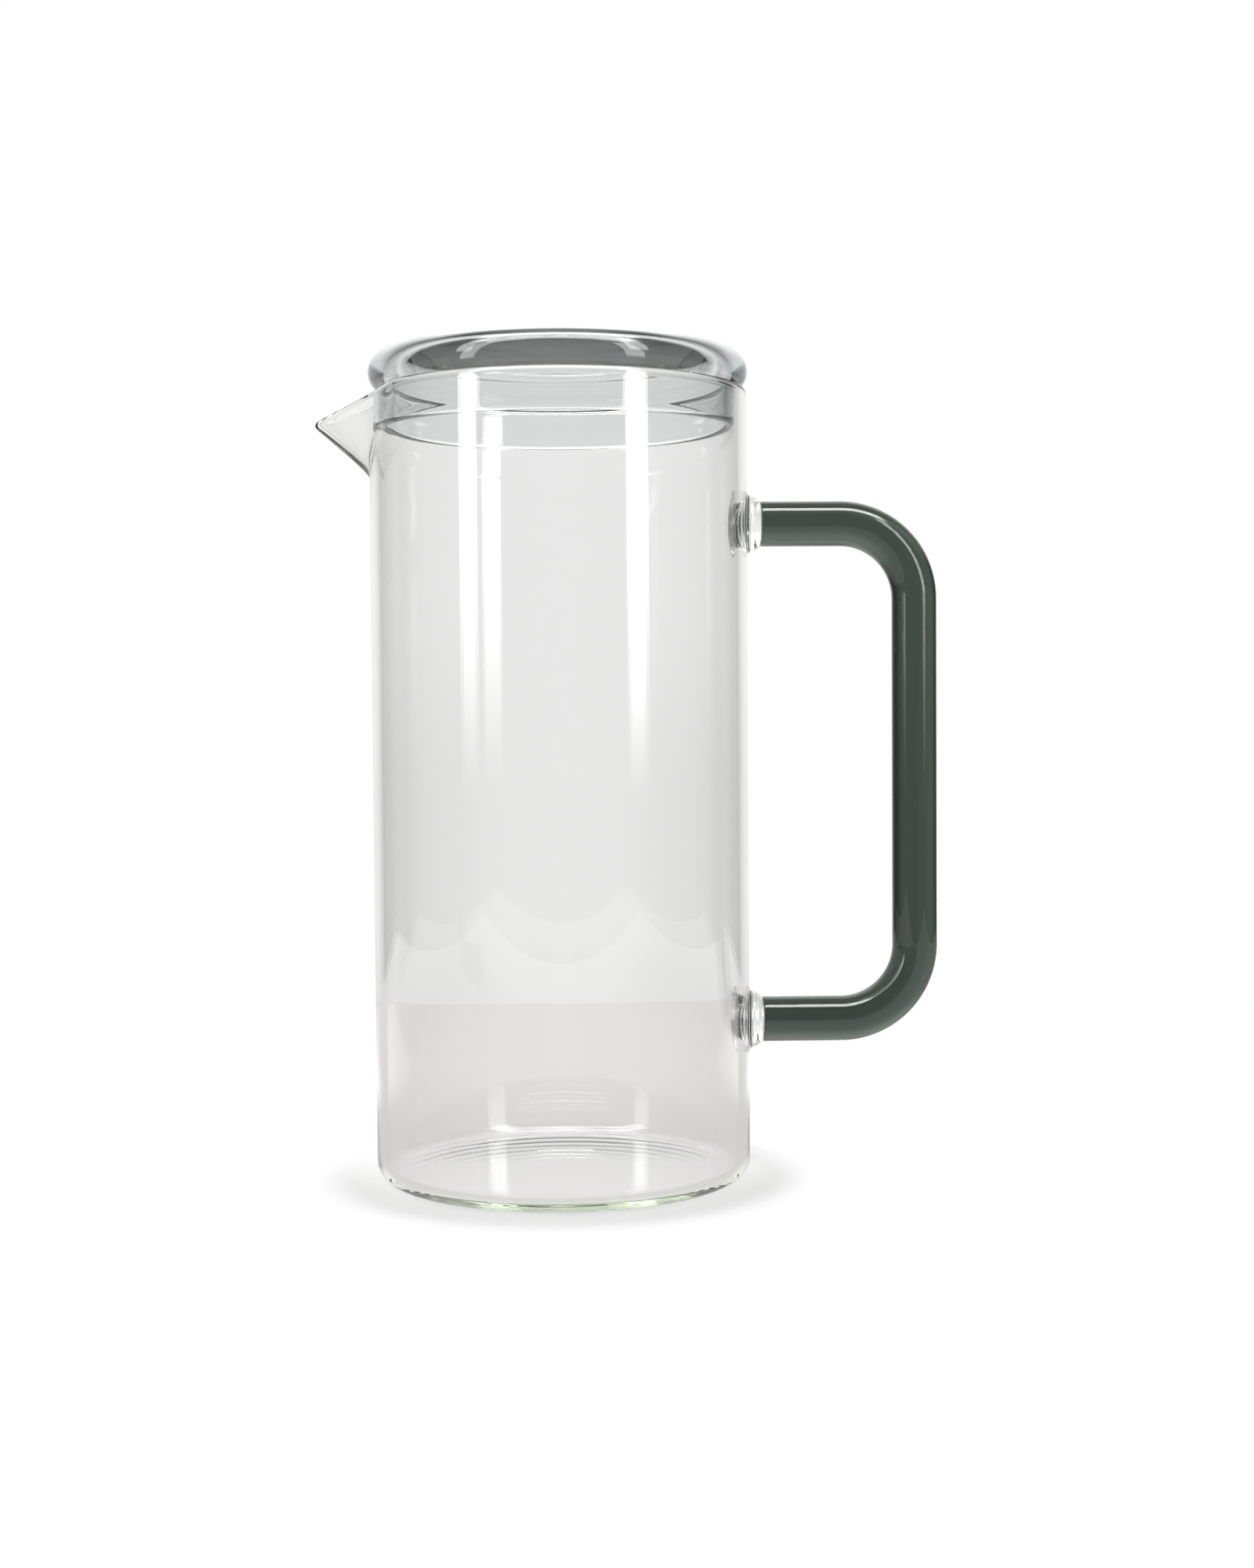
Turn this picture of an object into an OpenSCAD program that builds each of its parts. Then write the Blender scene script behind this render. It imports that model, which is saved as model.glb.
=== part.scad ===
// Clear glass pitcher with a pulled spout, a bent coloured glass handle and a hollow glass lid.
// Millimetres. The origin is the centre of the base on the table, +Z is up,
// the handle points along +X and the spout along -X.

/* [Body] */
// Outer diameter of the body
body_d = 100; // [90:1:120]
// Height of the rim above the table
body_h = 209.8; // [190:0.1:260]
// Thickness of the wall
wall_t = 2.8; // [2.2:0.1:3.6]
// Thickness of the floor
floor_t = 3; // [2:0.1:6]
// Radius of the rounded heel, outside
heel_r = 5.5; // [4:0.5:9]
// Radius of the rounded corner between floor and wall, inside
inner_heel_r = 3; // [1:0.5:6]

/* [Spout] */
// How far the outer edge of the lip's tip stands out from the wall
spout_reach = 14.1; // [8:0.1:18]
// How far the lip's tip lies below the rim
spout_drop = 8.4; // [0:0.1:11]
// Height of the drawn-out region, from its foot to the rim
spout_h = 23.6; // [20:0.1:32]
// Angle on each side of the spout over which the rim is drawn out
spout_half_angle = 30; // [24:1:38]
// Thickness of the drawn-out glass at the tip
spout_tip_t = 2.2; // [1.6:0.1:2.8]

/* [Handle] */
// Diameter of the rod
rod_d = 12; // [8:0.5:14]
// Distance from the wall to the grip's centre line
handle_reach = 45; // [36:0.5:60]
// Distance from the rim down to the upper arm's centre line
upper_arm_below_rim = 35.4; // [28:0.1:45]
// Height of the lower arm's centre line above the table
lower_arm_h = 41.5; // [25:0.5:55]
// Radius of the two bends, on the centre line
bend_r = 20; // [15:0.5:28]

/* [Weld collars] */
// Length of the clear glass between the wall and the rod's end
collar_len = 3.8; // [3:0.1:6]
// Diameter of the collar at the foot of its cone
collar_d = 14.8; // [14.2:0.1:18]
// Radius of the fillet that runs out into the wall
collar_fillet_r = 1.5; // [1:0.1:2.5]

/* [Lid] */
// How far the lid's edge stands out past the body
lid_overhang = 0.25; // [0:0.05:3]
// Radius of the lid's rounded edge
lid_edge_r = 5.2; // [4.5:0.1:7]
// Thickness of the glass in the lid's skirt and at its edge
lid_wall_t = 2.3; // [1.8:0.1:3.2]
// Radius of the rounded corner inside the lid
lid_hollow_r = 4.6; // [3:0.1:4.8]
// Thickness of the lid's top over that corner
lid_top_t = 1.3; // [1.2:0.05:2.5]
// How much thicker the lid's top gets towards its middle
lid_belly_h = 3.9; // [1:0.1:6]
// How far the skirt reaches down past the rim
skirt_h = 10.6; // [6:0.1:16]
// Clearance all round between the skirt and the mouth
skirt_gap = 0.4; // [0.3:0.05:1]
// Gap between the lid's edge and the rim that it sits on
seat_gap = 0.3; // [0.2:0.05:0.6]

/* [Hidden] */

// Segments in a full circle
round_fn = 96;
// Segments in the full circle of a shallow curve, of which only a small part shows
shallow_fn = 720;
// One overrun for all cuts
cut_over = 1;

body_r = body_d / 2;
mouth_r = body_r - wall_t;

// The rim is a full round of the wall's own thickness
bead_r = wall_t / 2;
bead_ring_r = body_r - bead_r;
bead_z = body_h - bead_r;

// Foot of the drawn-out region
spout_foot_z = body_h - spout_h;
// How sharply the plan's tip and the foot's start are rounded, as shares of their spans
tip_round_share = 0.15;
foot_round_share = 0.15;
// Share of the height at which the outermost part of the region starts to swell
side_start_share = 0.8;
// Fall-off of the reach and of the drop away from the tip
reach_power = 2;
drop_power = 1.2;
// Steps of the spout's mesh round the rim, up the wall and over the lip
spout_cols = 40;
spout_rows = 14;
lip_steps = 6;
// Small step for the surface's slopes, as a share of its span
slope_share = 0.001;
// The drawn-out glass stands this much proud of the tube, inside and out, so that the two join cleanly
seam_proud = 0.03;
// Share of the wall's thickness left in the thin edge that runs on inside the tube's wall
seam_edge_share = 0.4;

rod_r = rod_d / 2;
grip_x = body_r + handle_reach;
rod_end_x = body_r + collar_len;
upper_arm_z = body_h - upper_arm_below_rim;
lower_arm_z = lower_arm_h;
bend_x = grip_x - bend_r;

collar_r = collar_d / 2;
collar_foot_x = body_r + collar_fillet_r;
collar_root_r = collar_r + collar_fillet_r;
// How far the wall curves away behind a collar of that root
collar_sink = body_r - sqrt(pow(body_r, 2) - pow(collar_root_r, 2));

skirt_r = mouth_r - skirt_gap;
skirt_inner_r = skirt_r - lid_wall_t;
skirt_z = body_h - skirt_h;
skirt_lip_r = lid_wall_t / 2;
lid_edge_ring_r = body_r + lid_overhang - lid_edge_r;
// The lid's rounded edge rests over the rim's bead, one seat gap away from it
seat_reach = lid_edge_r + bead_r + seat_gap;
lid_edge_z = bead_z + sqrt(pow(seat_reach, 2) - pow(bead_ring_r - lid_edge_ring_r, 2));
lid_top_z = lid_edge_z + lid_edge_r;
// The rounded corner inside the lid, and the sphere that its thick middle bulges down as
lid_hollow_ring_r = body_r + lid_overhang - lid_wall_t - lid_hollow_r;
lid_hollow_z = lid_top_z - lid_top_t - lid_hollow_r;
lid_belly_r = (pow(lid_hollow_ring_r, 2) + pow(lid_belly_h, 2)) / (2 * lid_belly_h);
lid_belly_z = lid_top_z - lid_top_t - lid_belly_h + lid_belly_r;

clear_glass = [0.86, 0.90, 0.90, 0.35];
smoke_glass = [0.52, 0.54, 0.52, 0.6];
handle_glass = [0.20, 0.25, 0.22];

// A ramp from 0 to 1 whose start is rounded over a share k of its span
function eased(x, k) = (sqrt(x * x + k * k) - k) / (sqrt(1 + k * k) - k);

// The drawn-out surface. a is the angle from the spout's middle and v runs from its foot to its lip.
function spout_side(a) = min(1, abs(a) / spout_half_angle);
function spout_share(a) = 1 - eased(spout_side(a), tip_round_share);
function spout_start(a) = side_start_share * spout_side(a);
function spout_swell(a, v) =
    let (from = spout_start(a))
    eased(max(0, v - from) / (1 - from), foot_round_share);
function spout_lip_z(a) = bead_z - spout_drop * pow(spout_share(a), drop_power);
function spout_lip_stand(a) = spout_reach * pow(spout_share(a), reach_power);
function spout_thickness(a, v) = wall_t - (wall_t - spout_tip_t) * spout_share(a) * v;
function spout_point(a, v) =
    let (r = body_r + spout_lip_stand(a) * spout_swell(a, v))
    [-r * cos(a), -r * sin(a), spout_foot_z + (spout_lip_z(a) - spout_foot_z) * v];

function unit(p) = p / norm(p);

// Slopes of the surface up the wall and round the rim, and its outward normal
function spout_up(a, v) =
    unit(spout_point(a, v + slope_share) - spout_point(a, v - slope_share));
function spout_round(a, v) =
    spout_point(a + slope_share * spout_half_angle, v)
    - spout_point(a - slope_share * spout_half_angle, v);
function spout_normal(a, v) =
    abs(a) >= spout_half_angle
        ? [-cos(a), -sin(a), 0]
        : unit(cross(spout_round(a, v), spout_up(a, v)));

// Half of the glass's thickness, in full or thinned to the edge that runs on inside the tube's wall
function spout_half_glass(a, v, thin) =
    let (half = spout_thickness(a, v) / 2)
    thin ? half * seam_edge_share : half + seam_proud;

// A point at one side of the glass: side = 1 outside, -1 inside
function spout_skin(a, v, side, thin) =
    spout_point(a, v)
    + spout_normal(a, v) * (side * spout_half_glass(a, v, thin) - spout_thickness(a, v) / 2);

// A point of the lip's full round, w degrees from the outside
function spout_lip(a, w, thin) =
    let (
        out = spout_normal(a, 1),
        up = abs(a) >= spout_half_angle ? [0, 0, 1] : spout_up(a, 1),
        half = spout_half_glass(a, 1, thin)
    )
    spout_point(a, 1) - out * spout_thickness(a, 1) / 2 + half * (out * cos(w) + up * sin(w));

// One section of the glass: up the outside, over the lip and down the inside.
// Its lowest row, below the foot, is thin, and so is the whole of an end section.
function spout_section(a, thin) = concat(
    [for (row = [-1 : spout_rows])
        spout_skin(a, row / spout_rows, 1, thin || row < 0)],
    [for (turn = [1 : lip_steps - 1])
        spout_lip(a, 180 * turn / lip_steps, thin)],
    [for (row = [spout_rows : -1 : -1])
        spout_skin(a, row / spout_rows, -1, thin || row < 0)]
);

// The drawn-out glass itself, with one thin section past each side of the notch
module spout_glass() {
    rows = spout_rows + 1;
    ring = 2 * (rows + 1) + lip_steps - 1;
    last = spout_cols + 2;
    points = [
        for (col = [0 : last])
            each spout_section(
                spout_half_angle * (2 * (col - 1) / spout_cols - 1),
                col == 0 || col == last)
    ];
    skin = [
        for (col = [0 : last - 1], i = [0 : ring - 1])
            let (
                j = (i + 1) % ring,
                a = col * ring + i,
                b = col * ring + j,
                c = a + ring,
                d = b + ring
            )
            each [[a, b, c], [b, d, c]]
    ];
    // Each end is closed by one face a row between the outside and the inside, and one over the lip
    end = concat(
        [for (row = [0 : rows - 1]) [row, ring - 1 - row, ring - 2 - row, row + 1]],
        [[for (turn = [lip_steps : -1 : 0]) rows + turn]]
    );
    far_end = [for (face = end)
        [for (k = [len(face) - 1 : -1 : 0]) last * ring + face[k]]];
    polyhedron(points = points, faces = concat(skin, end, far_end));
}

// The stretch of wall that the drawn-out glass takes the place of
module spout_notch() {
    far_x = body_r + cut_over;
    far_y = far_x * tan(spout_half_angle);
    translate([0, 0, spout_foot_z])
        linear_extrude(spout_h + cut_over)
            polygon([[0, 0], [-far_x, far_y], [-far_x, -far_y]]);
}

module body_section() {
    difference() {
        union() {
            translate([0, heel_r])
                square([body_r, bead_z - heel_r]);
            square([body_r - heel_r, bead_z]);
            translate([body_r - heel_r, heel_r])
                circle(heel_r, $fn = round_fn);
        }
        translate([0, floor_t + inner_heel_r])
            square([mouth_r, body_h]);
        translate([0, floor_t])
            square([mouth_r - inner_heel_r, body_h]);
        translate([mouth_r - inner_heel_r, floor_t + inner_heel_r])
            circle(inner_heel_r, $fn = round_fn);
    }
    translate([bead_ring_r, bead_z])
        circle(bead_r, $fn = round_fn);
}

module pitcher_body() {
    color(clear_glass)
    union() {
        difference() {
            rotate_extrude($fn = round_fn)
                body_section();
            spout_notch();
        }
        spout_glass();
    }
}

module arm(z) {
    translate([rod_end_x, 0, z])
        rotate([0, 90, 0])
            cylinder(r = rod_r, h = bend_x - rod_end_x, $fn = round_fn);
}

// A quarter bend that starts along +X at the height z and turns down, or up with side = -1
module bend(z, side) {
    translate([bend_x, 0, z - side * bend_r])
        rotate([side * 90, 0, 0])
            rotate_extrude(angle = 90, $fn = round_fn)
                translate([bend_r, 0])
                    circle(rod_r, $fn = round_fn);
}

module handle() {
    color(handle_glass)
    union() {
        arm(upper_arm_z);
        bend(upper_arm_z, 1);
        translate([grip_x, 0, lower_arm_z + bend_r])
            cylinder(r = rod_r, h = upper_arm_z - lower_arm_z - 2 * bend_r, $fn = round_fn);
        bend(lower_arm_z, -1);
        arm(lower_arm_z);
    }
}

// Half section of a collar: x runs out from the arm's axis and y from the body's axis to the rod
module collar_section() {
    difference() {
        polygon([
            [0, body_r - collar_sink - cut_over],
            [collar_root_r, body_r - collar_sink - cut_over],
            [collar_root_r, collar_foot_x],
            [collar_r, collar_foot_x],
            [rod_r, rod_end_x],
            [0, rod_end_x]
        ]);
        translate([collar_root_r, collar_foot_x])
            circle(collar_fillet_r, $fn = round_fn);
    }
}

module weld_collar(z) {
    color(clear_glass)
    difference() {
        translate([0, 0, z])
            rotate([0, 90, 0])
                rotate_extrude($fn = round_fn)
                    collar_section();
        cylinder(r = body_r, h = body_h, $fn = round_fn);
    }
}

module lid_outline() {
    translate([lid_edge_ring_r, lid_edge_z])
        circle(lid_edge_r, $fn = round_fn);
    translate([0, lid_edge_z - lid_edge_r])
        square([lid_edge_ring_r, 2 * lid_edge_r]);
    translate([0, skirt_z + skirt_lip_r])
        square([skirt_r, lid_edge_z - skirt_z - skirt_lip_r]);
}

// The space under the lid's top, less the thick middle that bulges down into it
module lid_hollow() {
    difference() {
        union() {
            translate([lid_hollow_ring_r, lid_hollow_z])
                circle(lid_hollow_r, $fn = round_fn);
            translate([0, lid_hollow_z - lid_hollow_r])
                square([lid_hollow_ring_r, 2 * lid_hollow_r]);
            translate([0, skirt_z - cut_over])
                square([skirt_inner_r, lid_hollow_z - skirt_z + cut_over]);
        }
        translate([0, lid_belly_z])
            circle(lid_belly_r, $fn = shallow_fn);
    }
}

module lid_section() {
    difference() {
        lid_outline();
        lid_hollow();
    }
    translate([skirt_r - skirt_lip_r, skirt_z + skirt_lip_r])
        circle(skirt_lip_r, $fn = round_fn);
}

module lid() {
    color(smoke_glass)
    rotate_extrude($fn = round_fn)
        lid_section();
}

pitcher_body();
handle();
weld_collar(upper_arm_z);  // upper_weld_collar
weld_collar(lower_arm_z);  // lower_weld_collar
lid();
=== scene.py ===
"""Looks of a glass pitcher with a pulled spout, a bent glass handle and a hollow glass lid.

Sizes are in millimetres, as a maker gives them, and become metres as the meshes are made.
The origin is the centre of the base and +Z is up. The handle points along +X and the spout
along -X.
"""

import logging
import math
from collections.abc import Mapping
from dataclasses import dataclass, field
from enum import Enum
from typing import NamedTuple

import bmesh
import bpy
from mathutils import Matrix, Vector

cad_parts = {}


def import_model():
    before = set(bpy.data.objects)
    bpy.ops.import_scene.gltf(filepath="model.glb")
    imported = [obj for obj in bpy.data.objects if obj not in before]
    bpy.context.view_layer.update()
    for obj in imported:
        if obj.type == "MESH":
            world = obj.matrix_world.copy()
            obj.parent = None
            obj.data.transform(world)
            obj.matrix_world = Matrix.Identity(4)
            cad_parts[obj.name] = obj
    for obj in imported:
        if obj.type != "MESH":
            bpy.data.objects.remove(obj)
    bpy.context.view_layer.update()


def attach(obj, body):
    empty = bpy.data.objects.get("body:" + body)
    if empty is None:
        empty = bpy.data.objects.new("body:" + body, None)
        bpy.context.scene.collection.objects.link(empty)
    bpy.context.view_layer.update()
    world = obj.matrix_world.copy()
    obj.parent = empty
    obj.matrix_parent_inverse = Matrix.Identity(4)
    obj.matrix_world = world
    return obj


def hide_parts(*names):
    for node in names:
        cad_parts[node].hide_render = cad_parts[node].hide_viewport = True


MM = 0.001
# Vertices closer than this are one, in millimetres
SAME_PLACE = 0.001
log = logging.getLogger("pitcher")


class Rider(Enum):
    """The bodies that move."""

    JUG = "jug"
    LID = "lid"


class Slot(Enum):
    """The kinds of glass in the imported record."""

    CLEAR = "clear_glass"
    HANDLE = "handle_glass"
    SMOKE = "smoke_glass"


class Ramp(NamedTuple):
    """A smooth change of a value between two places."""

    low: float
    high: float
    start: float
    end: float

    def metres(self) -> "Ramp":
        """The same change, where the places are lengths in millimetres."""
        return Ramp(self.low * MM, self.high * MM, self.start, self.end)


# Shader graphs


class Value:
    """A socket that takes part in arithmetic and adds its Math nodes as it goes."""

    def __init__(self, graph: "Graph", socket: bpy.types.NodeSocket) -> None:
        """Keeps the socket and the graph that it belongs to."""
        self.graph = graph
        self.socket = socket

    def _math(self, operation: str, *terms: "Value | float") -> "Value":
        """Adds one Math node on the terms."""
        return self.graph.add(
            "ShaderNodeMath", {"operation": operation}, dict(enumerate(terms))
        )

    def __add__(self, other: "Value | float") -> "Value":
        """Sum."""
        return self._math("ADD", self, other)

    __radd__ = __add__

    def __sub__(self, other: "Value | float") -> "Value":
        """Difference."""
        return self._math("SUBTRACT", self, other)

    def __rsub__(self, other: float) -> "Value":
        """Difference from a number."""
        return self._math("SUBTRACT", other, self)

    def __mul__(self, other: "Value | float") -> "Value":
        """Product."""
        return self._math("MULTIPLY", self, other)

    __rmul__ = __mul__

    def __truediv__(self, other: "Value | float") -> "Value":
        """Quotient."""
        return self._math("DIVIDE", self, other)

    def __pow__(self, other: "Value | float") -> "Value":
        """Power."""
        return self._math("POWER", self, other)

    def __gt__(self, other: "Value | float") -> "Value":
        """1 where this is above the other, and 0 elsewhere."""
        return self._math("GREATER_THAN", self, other)


class Graph:
    """The nodes of one material, world or lamp."""

    def __init__(self, tree: bpy.types.NodeTree, output: str) -> None:
        """Empties the tree and adds its output node.

        Args:
            tree: The node tree.
            output: The type of its output node.
        """
        self.tree = tree
        tree.nodes.clear()
        self.output = tree.nodes.new(output)

    def add(
        self,
        kind: str,
        settings: Mapping[str, object] | None = None,
        sockets: Mapping[str | int, object] | None = None,
        out: str | int = 0,
    ) -> Value:
        """Adds a node.

        Args:
            kind: The node's type.
            settings: Its settings, such as an operation, which are set first.
            sockets: Values or links of its inputs, by name or number.
            out: The output to return.

        Returns:
            The chosen output.
        """
        node = self.tree.nodes.new(kind)
        for name, setting in (settings or {}).items():
            setattr(node, name, setting)
        for name, value in (sockets or {}).items():
            if isinstance(value, Value):
                self.tree.links.new(value.socket, node.inputs[name])
            else:
                node.inputs[name].default_value = value
        return Value(self, node.outputs[out])

    def send(self, value: Value, name: str) -> None:
        """Links a value to the output node's socket of that name."""
        self.tree.links.new(value.socket, self.output.inputs[name])

    def light_path(self, fact: str) -> Value:
        """One of the Light Path node's facts."""
        return self.add("ShaderNodeLightPath", out=fact)

    def object_point(self) -> Value:
        """The point in the object's own coordinates."""
        return self.add("ShaderNodeTexCoord", out="Object")

    def split(self, vector: Value) -> tuple[Value, Value, Value]:
        """The three components of a vector."""
        return tuple(
            self.add("ShaderNodeSeparateXYZ", {}, {0: vector}, axis) for axis in range(3)
        )

    def smooth(
        self, value: Value, low: float, high: float, start: float, end: float
    ) -> Value:
        """A smooth rise or fall along a value.

        Args:
            value: The value.
            low: Where the change begins.
            high: Where it ends.
            start: The level below low.
            end: The level above high.

        Returns:
            The level.
        """
        return self.add(
            "ShaderNodeMapRange",
            {"interpolation_type": "SMOOTHSTEP"},
            {0: value, 1: low, 2: high, 3: start, 4: end},
        )


# Finishes


@dataclass(frozen=True)
class GlassFinish:
    """Fire-polished glass, whose colour lies in its thickness."""

    name: str
    # What a metre of it takes away of red, green and blue, in natural logarithms
    takes: tuple[float, float, float]
    ior: float = 1.47
    # Height of the slight unevenness left by the flame, and its size across and along
    ripple: float = 0.01
    ripple_size: tuple[float, float] = (18.0, 90.0)
    # Roughness of clean glass and how much faint handling marks add
    roughness: float = 0.0
    marks: float = 0.012
    # Levels of a noise between which the marks come in
    marks_between: tuple[float, float] = (0.55, 0.8)
    # What of a lamp's light passes through the glass to what stands behind
    passes: float = 0.93
    # Density of the volume over the largest of takes, which keeps its colour above black
    headroom: float = 1.05

    def material(self) -> bpy.types.Material:
        """Builds the material.

        Returns:
            The new material.
        """
        made = bpy.data.materials.new(self.name)
        made.use_nodes = True
        graph = Graph(made.node_tree, "ShaderNodeOutputMaterial")
        across, along = self.ripple_size
        drawn = graph.add(
            "ShaderNodeMapping",
            {},
            {
                "Vector": graph.object_point(),
                "Scale": (1 / (across * MM), 1 / (across * MM), 1 / (along * MM)),
            },
        )
        waves = graph.add(
            "ShaderNodeTexNoise",
            {},
            {"Vector": drawn, "Scale": 1.0, "Detail": 2.0, "Roughness": 0.4},
            "Fac",
        )
        bump = graph.add(
            "ShaderNodeBump",
            {},
            {"Strength": 1.0, "Distance": self.ripple * MM, "Height": waves},
        )
        smears = graph.add(
            "ShaderNodeTexNoise",
            {},
            {"Vector": drawn, "Scale": 2.3, "Detail": 4.0, "Roughness": 0.6},
            "Fac",
        )
        rough = graph.smooth(
            smears, *self.marks_between, self.roughness, self.roughness + self.marks
        )
        glass = graph.add(
            "ShaderNodeBsdfPrincipled",
            {},
            {
                "Base Color": (1, 1, 1, 1),
                "Roughness": rough,
                "IOR": self.ior,
                "Transmission Weight": 1.0,
                "Normal": bump,
            },
        )
        passing = graph.add(
            "ShaderNodeBsdfTransparent", {}, {"Color": (*[self.passes] * 3, 1)}
        )
        surface = graph.add(
            "ShaderNodeMixShader",
            {},
            {0: graph.light_path("Is Shadow Ray"), 1: glass, 2: passing},
        )
        density = max(self.takes) * self.headroom
        colour = tuple(1 - part / density for part in self.takes)
        inside = graph.add(
            "ShaderNodeVolumeAbsorption",
            {},
            {"Color": (*colour, 1), "Density": density},
        )
        graph.send(surface, "Surface")
        graph.send(inside, "Volume")
        return made


# Meshes


class Pen:
    """Draws the half section of a turned shape, stroke by stroke, from one vertex."""

    def __init__(self, x: float, z: float) -> None:
        """Puts the pen down at (x, z)."""
        self.mesh = bmesh.new()
        self.tip = self.mesh.verts.new((x * MM, 0, z * MM))

    def line(self, x: float, z: float, cuts: int = 1) -> "Pen":
        """Draws a straight stroke.

        Args:
            x: Its end, out from the axis.
            z: Its end, along the axis.
            cuts: Edges in the stroke.

        Returns:
            The pen.
        """
        step = (Vector((x * MM, 0, z * MM)) - self.tip.co) / cuts
        for _ in range(cuts):
            made = bmesh.ops.extrude_vert_indiv(self.mesh, verts=[self.tip])
            self.tip = made["verts"][0]
            bmesh.ops.translate(self.mesh, verts=[self.tip], vec=step)
        return self

    def arc(self, x: float, z: float, degrees: float, steps: int) -> "Pen":
        """Draws an arc.

        Args:
            x: Its centre, out from the axis.
            z: Its centre, along the axis.
            degrees: Its angle, positive from +X towards +Z.
            steps: Edges in the arc.

        Returns:
            The pen.
        """
        made = bmesh.ops.spin(
            self.mesh,
            geom=[self.tip],
            cent=(x * MM, 0, z * MM),
            axis=(0, 1, 0),
            angle=-math.radians(degrees),
            steps=steps,
        )
        self.tip = next(
            item for item in made["geom_last"] if isinstance(item, bmesh.types.BMVert)
        )
        return self

    def turn(self, steps: int) -> bmesh.types.BMesh:
        """Spins the section all round the axis.

        Args:
            steps: Faces round the axis.

        Returns:
            The closed mesh.
        """
        bmesh.ops.spin(
            self.mesh,
            geom=[*self.mesh.verts, *self.mesh.edges],
            cent=(0, 0, 0),
            axis=(0, 0, 1),
            angle=2 * math.pi,
            steps=steps,
            use_merge=True,
        )
        bmesh.ops.remove_doubles(self.mesh, verts=self.mesh.verts, dist=SAME_PLACE * MM)
        bmesh.ops.recalc_face_normals(self.mesh, faces=self.mesh.faces)
        return self.mesh


@dataclass(kw_only=True)
class GlassPiece:
    """A piece of glass that stands for one node of the frame."""

    name: str
    node: str
    rider: Rider
    slot: Slot
    finish: bpy.types.Material

    def mesh(self) -> bmesh.types.BMesh:
        """The piece's shape."""
        raise NotImplementedError

    def build(self) -> bpy.types.Object:
        """Makes the piece, dresses it and puts it on its body.

        Returns:
            The finished object.
        """
        shape = self.mesh()
        data = bpy.data.meshes.new(self.name)
        shape.to_mesh(data)
        shape.free()
        data.shade_smooth()
        data.materials.append(self.finish)
        piece = bpy.data.objects.new(self.name, data)
        bpy.context.scene.collection.objects.link(piece)
        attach(piece, self.rider.value)
        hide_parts(self.node)
        log.info("%s: %d faces", self.name, len(data.polygons))
        return piece


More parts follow.
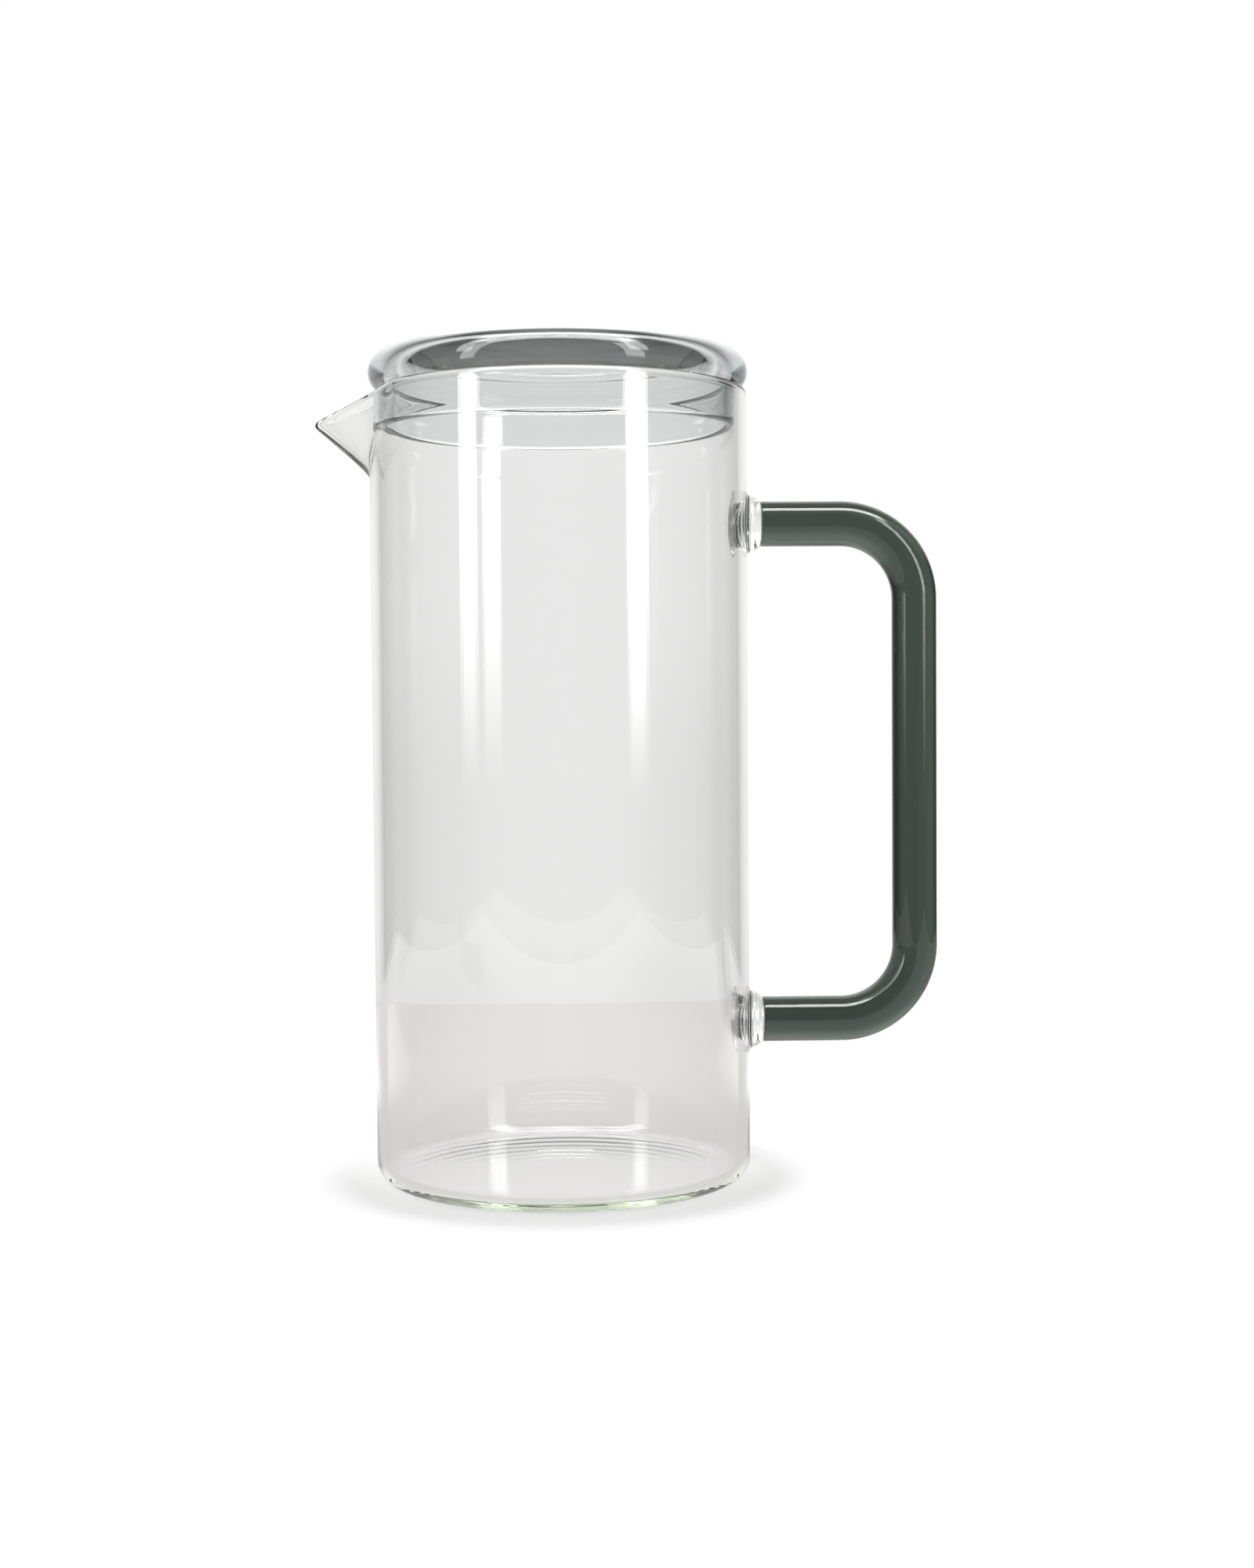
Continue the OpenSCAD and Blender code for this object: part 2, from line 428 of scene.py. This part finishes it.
@dataclass(kw_only=True)
class PitcherBody(GlassPiece):
    """The tube with its floor, its rim and the spout drawn out of its wall."""

    name: str = "clear_body"
    node: str = "pitcher_body"
    rider: Rider = Rider.JUG
    slot: Slot = Slot.CLEAR
    radius: float = 50.0
    height: float = 209.8
    wall: float = 2.8
    floor: float = 3.0
    heel: float = 5.5
    inner_heel: float = 3.0
    # How far the underside is pushed up inside its contact ring
    hollow: float = 0.6
    spout_height: float = 23.6
    spout_reach: float = 14.1
    spout_drop: float = 8.4
    # Thickness of the glass at the spout's tip
    spout_tip: float = 2.2
    # Degrees of the rim that the spout takes on each side of its middle
    half_angle: float = 30.0
    # Shares over which its edge at the tip and its foot on the wall are rounded
    tip_round: float = 0.15
    foot_round: float = 0.15
    # Share of its height at which it starts at its very sides
    side_start: float = 0.8
    # Powers by which its reach and its drop fade towards its sides
    reach_power: float = 2.0
    drop_power: float = 1.2
    # Power by which the columns crowd towards its middle
    crowding: float = 1.5
    # Slack in telling the tube's surfaces apart
    slack: float = 0.01
    columns: int = 288
    spout_rows: int = 30
    wall_rows: int = 16
    rim_rows: int = 12
    heel_rows: int = 10
    inner_heel_rows: int = 8
    floor_rings: int = 8

    @property
    def bead(self) -> float:
        """Radius of the rim's full round."""
        return self.wall / 2

    @property
    def bead_z(self) -> float:
        """Height of the round's centre."""
        return self.height - self.bead

    @property
    def foot_z(self) -> float:
        """Height at which the spout starts."""
        return self.height - self.spout_height

    @staticmethod
    def eased(x: float, k: float) -> float:
        """A ramp from 0 to 1 whose start is rounded over a share k of its span."""
        return (math.hypot(x, k) - k) / (math.hypot(1, k) - k)

    def share(self, angle: float) -> float:
        """How much of the spout's full draw there is at an angle from its middle."""
        side = min(1.0, abs(angle) / self.half_angle)
        return 1 - self.eased(side, self.tip_round)

    def drawn_point(self, angle: float, rise: float) -> Vector:
        """A point of the outer surface.

        Args:
            angle: Degrees from the spout's middle.
            rise: 0 at its foot and 1 at its lip.

        Returns:
            The point, in millimetres.
        """
        share = self.share(angle)
        start = self.side_start * min(1.0, abs(angle) / self.half_angle)
        swell = self.eased(max(0.0, rise - start) / (1 - start), self.foot_round)
        out = self.radius + self.spout_reach * share**self.reach_power * swell
        lip_z = self.bead_z - self.spout_drop * share**self.drop_power
        turn = math.radians(angle)
        return Vector(
            (
                -out * math.cos(turn),
                -out * math.sin(turn),
                self.foot_z + (lip_z - self.foot_z) * rise,
            )
        )

    def slopes(self, angle: float, rise: float) -> tuple[Vector, Vector]:
        """How the outer surface lies at a point.

        Args:
            angle: Degrees from the spout's middle.
            rise: 0 at its foot and 1 at its lip.

        Returns:
            Its direction up the wall, and its outward normal.
        """
        small = 0.001
        up = self.drawn_point(angle, rise + small) - self.drawn_point(
            angle, rise - small
        )
        round_rim = self.drawn_point(angle + small, rise) - self.drawn_point(
            angle - small, rise
        )
        return up.normalized(), round_rim.cross(up).normalized()

    def draw_out(self, vert: bmesh.types.BMVert) -> None:
        """Moves one vertex of the plain tube to its place in the spout.

        Args:
            vert: The vertex.
        """
        x, y, z = vert.co / MM
        angle = math.degrees(math.atan2(-y, -x))
        if abs(angle) >= self.half_angle:
            return
        side = abs(angle) / self.half_angle
        angle = math.copysign(self.half_angle * side**self.crowding, angle)
        out = math.hypot(x, y)
        rise = (min(z, self.bead_z) - self.foot_z) / (self.bead_z - self.foot_z)
        if rise < 0 or out < self.radius - self.wall - self.slack:
            turn = math.radians(angle)
            vert.co = (
                Vector((-out * math.cos(turn), -out * math.sin(turn), z)) * MM
            )
            return
        up, normal = self.slopes(angle, rise)
        thick = self.wall - (self.wall - self.spout_tip) * self.share(angle) * rise
        place = self.drawn_point(angle, rise)
        depth = (out - self.radius + self.bead) / self.bead
        lift = (z - self.bead_z) / self.bead if z > self.bead_z else 0.0
        if lift <= 0:
            depth = 1.0 if depth > 0 else -1.0
        place += thick / 2 * (normal * (depth - 1) + up * lift)
        vert.co = place * MM

    def mesh(self) -> bmesh.types.BMesh:
        """Turns the tube with its floor, then draws the spout out of it.

        Returns:
            The body's mesh.
        """
        inner = self.radius - self.wall
        pen = Pen(0, 0)
        pen.line(self.radius - self.heel, 0, self.floor_rings)
        pen.arc(self.radius - self.heel, self.heel, 90, self.heel_rows)
        pen.line(self.radius, self.foot_z, self.wall_rows)
        pen.line(self.radius, self.bead_z, self.spout_rows)
        pen.arc(self.radius - self.bead, self.bead_z, 180, self.rim_rows)
        pen.line(inner, self.foot_z, self.spout_rows)
        turn_x, turn_z = inner - self.inner_heel, self.floor + self.inner_heel
        pen.line(inner, turn_z, self.wall_rows)
        pen.arc(turn_x, turn_z, -90, self.inner_heel_rows)
        pen.line(0, self.floor, self.floor_rings)
        shape = pen.turn(self.columns)
        contact = self.radius - self.heel
        for vert in shape.verts:
            out = math.hypot(vert.co.x, vert.co.y) / MM
            if vert.co.z < self.slack * MM and out < contact:
                vert.co.z += self.hollow * (1 - (out / contact) ** 2) * MM
            else:
                self.draw_out(vert)
        return shape


@dataclass(kw_only=True)
class Handle(GlassPiece):
    """The coloured rod, bent twice."""

    name: str = "handle_rod"
    node: str = "handle"
    rider: Rider = Rider.JUG
    slot: Slot = Slot.HANDLE
    radius: float = 6.0
    # The rod's two ends lie slightly inside the fronts of their collars
    start_x: float = 53.75
    bend_x: float = 75.0
    bend: float = 20.0
    upper_z: float = 174.4
    lower_z: float = 41.5
    # Rounding of those ends
    end_round: float = 0.5
    segments: int = 72
    arm_steps: int = 8
    bend_steps: int = 28
    grip_steps: int = 16
    end_steps: int = 4

    def mesh(self) -> bmesh.types.BMesh:
        """Draws a ring of edges along the rod's way and closes its two ends.

        Returns:
            The rod's mesh.
        """
        shape = bmesh.new()
        bmesh.ops.create_circle(shape, segments=self.segments, radius=self.radius * MM)
        bmesh.ops.rotate(
            shape,
            verts=shape.verts,
            matrix=Matrix.Rotation(math.radians(90), 3, "Y"),
        )
        bmesh.ops.translate(
            shape,
            verts=shape.verts,
            vec=Vector((self.start_x, 0, self.upper_z)) * MM,
        )
        ring = list(shape.edges)
        arm = self.bend_x - self.start_x
        grip = self.upper_z - self.lower_z - 2 * self.bend
        upper_centre = (self.bend_x, self.upper_z - self.bend)
        lower_centre = (self.bend_x, self.lower_z + self.bend)
        ring = self._push(shape, ring, (arm, 0, 0), self.arm_steps)
        ring = self._bend(shape, ring, upper_centre)
        ring = self._push(shape, ring, (0, 0, -grip), self.grip_steps)
        ring = self._bend(shape, ring, lower_centre)
        self._push(shape, ring, (-arm, 0, 0), self.arm_steps)
        bmesh.ops.holes_fill(shape, edges=shape.edges, sides=0)
        # Only the two end faces have more than four corners
        rims = [
            edge
            for edge in shape.edges
            if any(len(face.verts) > 4 for face in edge.link_faces)
        ]
        bmesh.ops.bevel(
            shape,
            geom=rims,
            offset=self.end_round * MM,
            segments=self.end_steps,
            affect="EDGES",
            profile=0.5,
            material=-1,
        )
        bmesh.ops.recalc_face_normals(shape, faces=shape.faces)
        return shape

    @staticmethod
    def _push(
        shape: bmesh.types.BMesh,
        ring: list[bmesh.types.BMEdge],
        way: tuple[float, float, float],
        steps: int,
    ) -> list[bmesh.types.BMEdge]:
        """Extrudes the ring along a straight way.

        Args:
            shape: The mesh.
            ring: The ring's edges.
            way: Length and direction, in millimetres.
            steps: Rings on the way.

        Returns:
            The ring at the end.
        """
        for _ in range(steps):
            made = bmesh.ops.extrude_edge_only(shape, edges=ring)["geom"]
            ring = [item for item in made if isinstance(item, bmesh.types.BMEdge)]
            verts = [item for item in made if isinstance(item, bmesh.types.BMVert)]
            ring = [edge for edge in ring if all(v in verts for v in edge.verts)]
            bmesh.ops.translate(shape, verts=verts, vec=Vector(way) * MM / steps)
        return ring

    def _bend(
        self,
        shape: bmesh.types.BMesh,
        ring: list[bmesh.types.BMEdge],
        centre: tuple[float, float],
    ) -> list[bmesh.types.BMEdge]:
        """Spins the ring through a quarter turn.

        Args:
            shape: The mesh.
            ring: The ring's edges.
            centre: X and Z of the bend's centre, in millimetres.

        Returns:
            The ring at the end.
        """
        verts = {vert for edge in ring for vert in edge.verts}
        made = bmesh.ops.spin(
            shape,
            geom=[*verts, *ring],
            cent=(centre[0] * MM, 0, centre[1] * MM),
            axis=(0, 1, 0),
            angle=math.radians(90),
            steps=self.bend_steps,
        )
        return [
            item for item in made["geom_last"] if isinstance(item, bmesh.types.BMEdge)
        ]


@dataclass(kw_only=True)
class WeldCollar(GlassPiece):
    """Clear glass that is melted on between the wall and the rod."""

    rider: Rider = Rider.JUG
    slot: Slot = Slot.CLEAR
    z: float
    wall_radius: float
    rod_radius: float
    length: float = 3.8
    foot_radius: float = 7.4
    fillet: float = 1.5
    # How far it melts into the wall
    bite: float = 0.05
    segments: int = 96
    back_rings: int = 10
    fillet_rows: int = 8
    side_rows: int = 4
    front_rings: int = 4

    def mesh(self) -> bmesh.types.BMesh:
        """Turns the collar about the arm's axis and lays its back on the wall.

        Returns:
            The collar's mesh.
        """
        root = self.foot_radius + self.fillet
        pen = Pen(0, -self.bite)
        pen.line(root, -self.bite, self.back_rings)
        pen.line(root, 0)
        pen.arc(root, self.fillet, -90, self.fillet_rows)
        pen.line(self.rod_radius, self.length, self.side_rows)
        pen.line(0, self.length, self.front_rings)
        shape = pen.turn(self.segments)
        bmesh.ops.rotate(
            shape,
            verts=shape.verts,
            matrix=Matrix.Rotation(math.radians(90), 3, "Y"),
        )
        for vert in shape.verts:
            y = vert.co.y / MM
            sink = self.wall_radius - math.sqrt(self.wall_radius**2 - y**2)
            near = 1 - vert.co.x / MM / self.length
            vert.co.x -= sink * near * MM
        bmesh.ops.translate(
            shape,
            verts=shape.verts,
            vec=Vector((self.wall_radius, 0, self.z)) * MM,
        )
        bmesh.ops.recalc_face_normals(shape, faces=shape.faces)
        return shape


@dataclass(kw_only=True)
class Lid(GlassPiece):
    """The hollow lid: a flat top thick in its middle, a rounded edge and an open skirt."""

    name: str = "smoke_lid"
    node: str = "lid"
    rider: Rider = Rider.LID
    slot: Slot = Slot.SMOKE
    edge_ring: float = 45.05
    edge_z: float = 214.32
    edge: float = 5.2
    wall: float = 2.3
    skirt: float = 46.8
    skirt_z: float = 199.2
    # The hollow's rounded corner, the glass above it and how much thicker the middle is
    hollow: float = 4.6
    hollow_ring: float = 43.35
    plate: float = 1.3
    belly: float = 3.9
    # Rounding where the edge turns into the skirt
    neck: float = 0.3
    columns: int = 288
    top_rings: int = 10
    edge_rows: int = 28
    neck_rows: int = 5
    skirt_rows: int = 8
    lip_rows: int = 12
    under_rings: int = 40

    def mesh(self) -> bmesh.types.BMesh:
        """Turns the lid's section about the axis of the body.

        Returns:
            The lid's mesh.
        """
        lip = self.wall / 2
        top = self.edge_z + self.edge
        inner = self.skirt - self.wall
        under = top - self.plate
        neck_x = self.skirt + self.neck
        reach = self.edge + self.neck
        # How far below the level the edge ends at its neck, and the hollow at the skirt
        outer_end = math.acos((neck_x - self.edge_ring) / reach)
        inner_end = math.acos((inner - self.hollow_ring) / self.hollow)
        neck_z = self.edge_z - reach * math.sin(outer_end)
        hollow_z = under - self.hollow
        corner_z = hollow_z - self.hollow * math.sin(inner_end)
        outer_turn = math.degrees(outer_end)
        inner_turn = math.degrees(inner_end)
        pen = Pen(0, top)
        pen.line(self.edge_ring, top, self.top_rings)
        pen.arc(self.edge_ring, self.edge_z, -90 - outer_turn, self.edge_rows)
        pen.arc(neck_x, neck_z, outer_turn, self.neck_rows)
        pen.line(self.skirt, self.skirt_z + lip, self.skirt_rows)
        pen.arc(self.skirt - lip, self.skirt_z + lip, -180, self.lip_rows)
        pen.line(inner, corner_z, self.skirt_rows)
        pen.arc(self.hollow_ring, hollow_z, 90 + inner_turn, self.edge_rows)
        pen.line(0, under, self.under_rings)
        shape = pen.turn(self.columns)
        for vert in shape.verts:
            out = math.hypot(vert.co.x, vert.co.y) / MM
            if out < self.hollow_ring and vert.co.z < (under + self.plate / 2) * MM:
                vert.co.z -= self.belly * (1 - (out / self.hollow_ring) ** 2) * MM
        return shape


# Studio


@dataclass
class Softbox:
    """A tall soft lamp beside the camera."""

    name: str
    # Degrees round from the camera, positive to the right
    azimuth: float
    width: float
    low_z: float = 30.0
    high_z: float = 1550.0
    radiance: float = 8.0
    distance: float = 1200.0
    # Share of the height over which its lower end fades in
    fade: float = 0.2

    def build(self) -> None:
        """Makes the lamp, facing the body's axis."""
        lamp = bpy.data.lights.new(self.name, "AREA")
        lamp.shape = "RECTANGLE"
        lamp.size = self.width * MM
        lamp.size_y = (self.high_z - self.low_z) * MM
        lamp.energy = self.radiance * math.pi * lamp.size * lamp.size_y
        lamp.use_nodes = True
        graph = Graph(lamp.node_tree, "ShaderNodeOutputLight")
        across = graph.add("ShaderNodeNewGeometry", out="Parametric")
        height = graph.add("ShaderNodeSeparateXYZ", {}, {0: across}, 1)
        strength = graph.smooth(height, 0.0, self.fade, 0.0, 1.0)
        glow = graph.add("ShaderNodeEmission", {}, {"Strength": strength})
        graph.send(glow, "Surface")
        turn = math.radians(self.azimuth)
        holder = bpy.data.objects.new(self.name, lamp)
        holder.location = (
            Vector(
                (
                    math.sin(turn) * self.distance,
                    -math.cos(turn) * self.distance,
                    (self.low_z + self.high_z) / 2,
                )
            )
            * MM
        )
        holder.rotation_euler = (math.radians(90), 0, turn)
        holder.visible_camera = False
        bpy.context.scene.collection.objects.link(holder)


@dataclass
class Studio:
    """Floor, surroundings, lamps and camera."""

    # The pale table top: half its width, and how far it goes in front and behind
    table_side: float = 600.0
    table_front: float = 570.0
    table_back: float = 336.0
    # Grey of its dull surface
    table_grey: float = 0.8
    # Its middle keeps the pitcher's shadow, and its rest is plain white to the camera
    shadow: Ramp = Ramp(54.4, 68.0, 0.0, 1.0)
    # What the table shows in the glass is a painted glow, where white is 1, and the share of
    # that by the distance to the side and behind is painted shade: darker to the sides and
    # in front, lighter behind
    table_in_glass: float = 0.8
    table_tint: tuple[float, float, float] = (1.0, 0.98, 0.955)
    table_sides: Ramp = Ramp(15.0, 90.0, 1.0, 0.9)
    table_depth: Ramp = Ramp(0.0, 200.0, 0.87, 1.0)
    # Painted light that the part behind, and not far to the side, gains where the glass
    # mirrors it
    table_gain: Ramp = Ramp(80.0, 150.0, 0.0, 0.8)
    table_gain_sides: Ramp = Ramp(60.0, 120.0, 1.0, 0.0)
    # Levels by the direction in which the glass shows the studio: y is away from the camera,
    # x to its right and z up. First from the dark room round to the backdrop
    backdrop: Ramp = Ramp(0.6, 0.97, 0.12, 0.92)
    # What the backdrop loses at its sides, and up to which height
    lost_sides: Ramp = Ramp(0.02, 0.09, 0.0, 0.07)
    lost_height: Ramp = Ramp(-0.05, 0.05, 1.0, 0.0)
    # Its share just above the table's far edge
    foot: Ramp = Ramp(-0.14, -0.09, 0.93, 1.0)
    # What the room gains where it is seen straight through the glass and not mirrored
    room_gain: Ramp = Ramp(0.1, 0.45, 0.8, 0.0)
    # Shares higher up, overhead and below the table's edge
    high: Ramp = Ramp(0.2, 0.45, 1.0, 1.45)
    ceiling: Ramp = Ramp(0.72, 0.87, 1.0, 0.18)
    below: Ramp = Ramp(-0.4, -0.15, 1.4, 1.0)
    # The strip lamp overhead: its level, its lowest height, its two long edges and its ends
    strip: float = 15.0
    strip_low: float = 0.7
    strip_near: Ramp = Ramp(-0.39, -0.35, 0.0, 1.0)
    strip_far: Ramp = Ramp(-0.13, -0.08, 1.0, 0.0)
    strip_ends: Ramp = Ramp(0.45**2, 0.6**2, 1.0, 0.0)
    # Times that light may turn on its way through thick glass
    turns_of_light: int = 32
    # Light that falls on dull surfaces from all round
    fill: float = 0.75
    softboxes: list[Softbox] = field(
        default_factory=lambda: [
            Softbox("left_softbox", azimuth=-55.5, width=210.0),
            Softbox("right_softbox", azimuth=47.5, width=260.0),
        ]
    )
    # The camera's place, its focal length in picture heights, and its turns in radians
    camera_place: tuple[float, float, float] = (0.0, -597.6, 129.04)
    camera_focal: float = 2846.37 / 2000
    camera_pitch: float = 0.0399
    camera_yaw: float = 0.0295
    camera_roll: float = -0.0073

    def build(self) -> None:
        """Makes everything round the pitcher."""
        paths = bpy.context.scene.cycles
        paths.max_bounces = self.turns_of_light
        paths.glossy_bounces = self.turns_of_light
        paths.transmission_bounces = self.turns_of_light
        self._world()
        self._table()
        for softbox in self.softboxes:
            softbox.build()
        self._camera()

    def _world(self) -> None:
        """White behind the pitcher, and the studio as its glass shows it."""
        world = bpy.data.worlds.new("studio")
        world.use_nodes = True
        # The softboxes light the table, so the world isn't sampled as a lamp
        world.cycles.sampling_method = "NONE"
        bpy.context.scene.world = world
        graph = Graph(world.node_tree, "ShaderNodeOutputWorld")
        x, y, z = graph.split(graph.add("ShaderNodeTexCoord", out="Generated"))
        ahead = y / (1 - z * z) ** 0.5
        wall = graph.smooth(ahead, *self.backdrop)
        lost = graph.smooth((x * x) ** 0.5, *self.lost_sides)
        wall = wall * (1 - lost * graph.smooth(z, *self.lost_height))
        wall = wall * graph.smooth(z, *self.foot)
        mirrored = graph.light_path("Glossy Depth") > 0.5
        wall = wall + (1 - mirrored) * graph.smooth(ahead, *self.room_gain)
        rise = graph.smooth(z, *self.high) * graph.smooth(z, *self.ceiling)
        rise = rise * graph.smooth(z, *self.below)
        lamp = graph.smooth(y, *self.strip_near) * (z > self.strip_low)
        lamp = lamp * graph.smooth(y, *self.strip_far)
        lamp = lamp * graph.smooth(x * x, *self.strip_ends)
        glass = wall * rise + lamp * self.strip
        straight = graph.light_path("Is Camera Ray")
        dull = graph.light_path("Diffuse Depth") > 0.5
        level = straight + (1 - straight) * (
            dull * self.fill + (1 - dull) * glass
        )
        light = graph.add(
            "ShaderNodeBackground", {}, {"Color": (1, 1, 1, 1), "Strength": level}
        )
        graph.send(light, "Surface")

    def _table(self) -> None:
        """A table top with the shadow near the pitcher and plain white further out, and a
        painted glow where the glass shows it.
        """
        shape = bmesh.new()
        bmesh.ops.create_grid(shape, x_segments=1, y_segments=1, size=0.5)
        depth = self.table_front + self.table_back
        bmesh.ops.scale(
            shape,
            verts=shape.verts,
            vec=Vector((2 * self.table_side, depth, 1)) * MM,
        )
        bmesh.ops.translate(
            shape,
            verts=shape.verts,
            vec=Vector((0, (self.table_back - self.table_front) / 2, 0)) * MM,
        )
        data = bpy.data.meshes.new("table")
        shape.to_mesh(data)
        shape.free()
        table = bpy.data.objects.new("table", data)
        bpy.context.scene.collection.objects.link(table)
        made = bpy.data.materials.new("pale_table")
        made.use_nodes = True
        graph = Graph(made.node_tree, "ShaderNodeOutputMaterial")
        out = graph.add(
            "ShaderNodeVectorMath",
            {"operation": "LENGTH"},
            {0: graph.object_point()},
            "Value",
        )
        far = graph.smooth(out, *self.shadow.metres())
        dull = graph.add(
            "ShaderNodeBsdfDiffuse", {}, {"Color": (*[self.table_grey] * 3, 1)}
        )
        white = graph.add("ShaderNodeEmission", {}, {"Strength": 1.0})
        seen = graph.add("ShaderNodeMixShader", {}, {0: far, 1: dull, 2: white})
        # What the glass sees of the table is a painted glow: painted shade to the sides and
        # in front, and painted light behind where the glass mirrors it
        x, y, _ = graph.split(graph.object_point())
        side = (x * x) ** 0.5
        glow = graph.smooth(side, *self.table_sides.metres())
        glow = glow * graph.smooth(y, *self.table_depth.metres())
        mirrored = graph.light_path("Glossy Depth") > 0.5
        gain = graph.smooth(y, *self.table_gain.metres())
        gain = gain * graph.smooth(side, *self.table_gain_sides.metres())
        glow = glow * (1 + mirrored * gain)
        shade = graph.add(
            "ShaderNodeVectorMath",
            {"operation": "SCALE"},
            {0: self.table_tint, "Scale": glow * self.table_in_glass},
        )
        level = graph.add("ShaderNodeEmission", {}, {"Color": shade, "Strength": 1.0})
        surface = graph.add(
            "ShaderNodeMixShader",
            {},
            {0: graph.light_path("Is Camera Ray"), 1: level, 2: seen},
        )
        graph.send(surface, "Surface")
        data.materials.append(made)

    def _camera(self) -> None:
        """The camera at the photograph's angle, slightly above the pitcher's middle."""
        pitch, yaw, roll = self.camera_pitch, self.camera_yaw, self.camera_roll
        ahead = Vector(
            (
                math.sin(yaw) * math.cos(pitch),
                math.cos(yaw) * math.cos(pitch),
                -math.sin(pitch),
            )
        )
        level = Vector((math.cos(yaw), -math.sin(yaw), 0))
        above = level.cross(ahead)
        right = math.cos(roll) * level + math.sin(roll) * above
        up = -math.sin(roll) * level + math.cos(roll) * above
        data = bpy.data.cameras.new("camera")
        data.sensor_width = 36.0
        data.lens = self.camera_focal * data.sensor_width
        data.clip_start = 0.01
        camera = bpy.data.objects.new("camera", data)
        turn = Matrix((right, up, -ahead)).transposed().to_4x4()
        place = Matrix.Translation(Vector(self.camera_place) * MM)
        camera.matrix_world = place @ turn
        bpy.context.scene.collection.objects.link(camera)
        bpy.context.scene.camera = camera


def main() -> None:
    """Builds the pitcher piece by piece, and the studio round it."""
    logging.basicConfig(level=logging.INFO, format="%(name)s: %(message)s")
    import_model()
    bpy.context.scene.view_settings.view_transform = "Standard"
    clear = GlassFinish("clear_glass", takes=(1.4, 0.8, 2.2)).material()
    green = GlassFinish(
        "handle_glass", takes=(236.0, 211.0, 226.0), ripple=0.003
    ).material()
    smoke = GlassFinish("smoke_glass", takes=(43.0, 39.0, 39.0)).material()
    body = PitcherBody(finish=clear)
    handle = Handle(finish=green)
    collars = [
        WeldCollar(
            name=f"{end}_collar",
            node=f"{end}_weld_collar",
            z=arm_z,
            wall_radius=body.radius,
            rod_radius=handle.radius,
            finish=clear,
        )
        for end, arm_z in (("upper", handle.upper_z), ("lower", handle.lower_z))
    ]
    for piece in (body, handle, *collars, Lid(finish=smoke)):
        piece.build()
    Studio().build()


if __name__ == "__main__":
    main()
